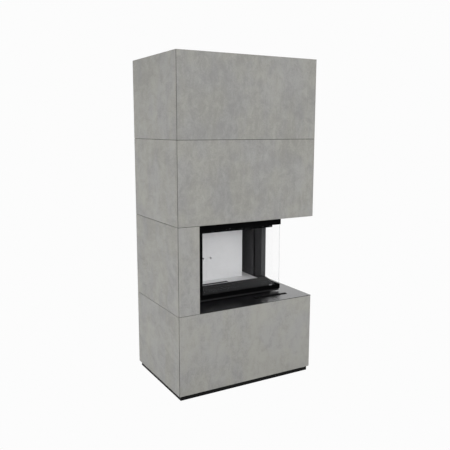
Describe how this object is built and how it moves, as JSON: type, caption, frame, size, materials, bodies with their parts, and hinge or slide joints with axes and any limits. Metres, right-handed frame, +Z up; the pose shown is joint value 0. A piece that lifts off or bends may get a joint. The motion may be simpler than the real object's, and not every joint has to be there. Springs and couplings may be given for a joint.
{
  "type": "corner fireplace kit",
  "caption": "Free-standing corner fireplace kit in concrete cladding, with a corner glass door that lifts on counterweights and a black steel shelf.",
  "frame": {"origin": "middle of the footprint at floor level", "axes": "+Z up, the front with the wide pane faces -Y, the side pane faces +X"},
  "size_m": [0.96, 0.645, 2.03],
  "materials": {
    "concrete": "smooth cast lightweight concrete, grey and cloudy",
    "black_steel": "black heat-resistant paint, satin",
    "shelf_black": "glossy black enamel",
    "grey_steel": "zinc-plated sheet and tube",
    "dark_lining": "dark grey refractory slab, matt",
    "light_lining": "light grey refractory slab, matt",
    "glass": "clear glass ceramic",
    "cast_iron": "rough dark grey casting",
    "cable_steel": "stranded steel cable"
  },
  "bodies": {
    "kit": {"plinth": "black_steel", "base_front_panel": "concrete", "base_left_panel": "concrete", "base_right_panel": "concrete", "fire_left_panel": "concrete", "fire_front_pillar": "concrete", "fire_front_return": "concrete", "fire_rear_pillar": "concrete", "fire_rear_return": "concrete", "hood_front_panel": "concrete", "hood_left_panel": "concrete", "hood_right_panel": "concrete", "hood_soffit": "concrete", "top_front_panel": "concrete", "top_left_panel": "concrete", "top_right_panel": "concrete", "top_lid": "concrete", "shelf_left_plate": "shelf_black", "shelf_right_plate": "shelf_black", "post_front_left": "grey_steel", "post_rear_left": "grey_steel", "post_rear_right": "grey_steel", "shelf_frame": "grey_steel", "hood_frame": "grey_steel", "insert_stand_left": "black_steel", "insert_stand_right": "black_steel", "firebox_body": "black_steel", "air_tray": "black_steel", "air_duct": "black_steel", "smoke_dome": "black_steel", "floor_slab": "light_lining", "back_slab_left": "light_lining", "back_slab_right": "light_lining", "left_lining": "dark_lining", "right_post_lining": "dark_lining", "right_rear_lining": "dark_lining", "baffle": "light_lining", "grate": "cast_iron", "lip": "black_steel", "inner_rail": "black_steel", "fascia_left": "black_steel", "fascia_right": "black_steel", "left_guide": "grey_steel", "right_guide": "grey_steel", "left_door_cable": "cable_steel", "right_door_cable": "cable_steel", "left_weight_cable": "cable_steel", "right_weight_cable": "cable_steel"},
    "door": {"door_bottom_rail": "black_steel", "door_grip": "grey_steel", "door_top_rail": "black_steel", "door_left_stile": "black_steel", "door_rear_stile": "black_steel", "front_glass": "glass", "side_glass": "glass"},
    "left_wheel": {"left_pulley": "grey_steel"},
    "right_wheel": {"right_pulley": "grey_steel"},
    "left_weight": {"left_counterweight": "cast_iron"},
    "right_weight": {"right_counterweight": "cast_iron"},
    "air_control": {"air_slider": "black_steel"}
  },
  "joints": [
    {"name": "door_lift", "type": "slide", "parent": "kit", "child": "door", "axis": [0, 0, 1], "range_m": [0, 0.42], "deforming": ["left_door_cable", "right_door_cable"]},
    {"name": "left_weight_drop", "type": "slide", "parent": "kit", "child": "left_weight", "axis": [0, 0, -1], "range_m": [0, 0.42], "deforming": ["left_weight_cable"]},
    {"name": "right_weight_drop", "type": "slide", "parent": "kit", "child": "right_weight", "axis": [0, 0, -1], "range_m": [0, 0.42], "deforming": ["right_weight_cable"]},
    {"name": "left_pulley_turn", "type": "hinge", "parent": "kit", "child": "left_wheel", "pos_m": [-0.328, -0.12785, 1.5], "axis": [0, -1, 0], "range_deg": [0, 438]},
    {"name": "right_pulley_turn", "type": "hinge", "parent": "kit", "child": "right_wheel", "pos_m": [0.35185, 0.215, 1.5], "axis": [-1, 0, 0], "range_deg": [0, 438]},
    {"name": "air_slide", "type": "slide", "parent": "kit", "child": "air_control", "axis": [1, 0, 0], "range_m": [0, 0.2]}
  ],
  "couplings": [
    {"joint": "left_weight_drop", "follows": "door_lift", "ratio": 1},
    {"joint": "right_weight_drop", "follows": "door_lift", "ratio": 1},
    {"joint": "left_pulley_turn", "follows": "door_lift", "rad_per_m": 18.182},
    {"joint": "right_pulley_turn", "follows": "door_lift", "rad_per_m": 18.182}
  ]
}
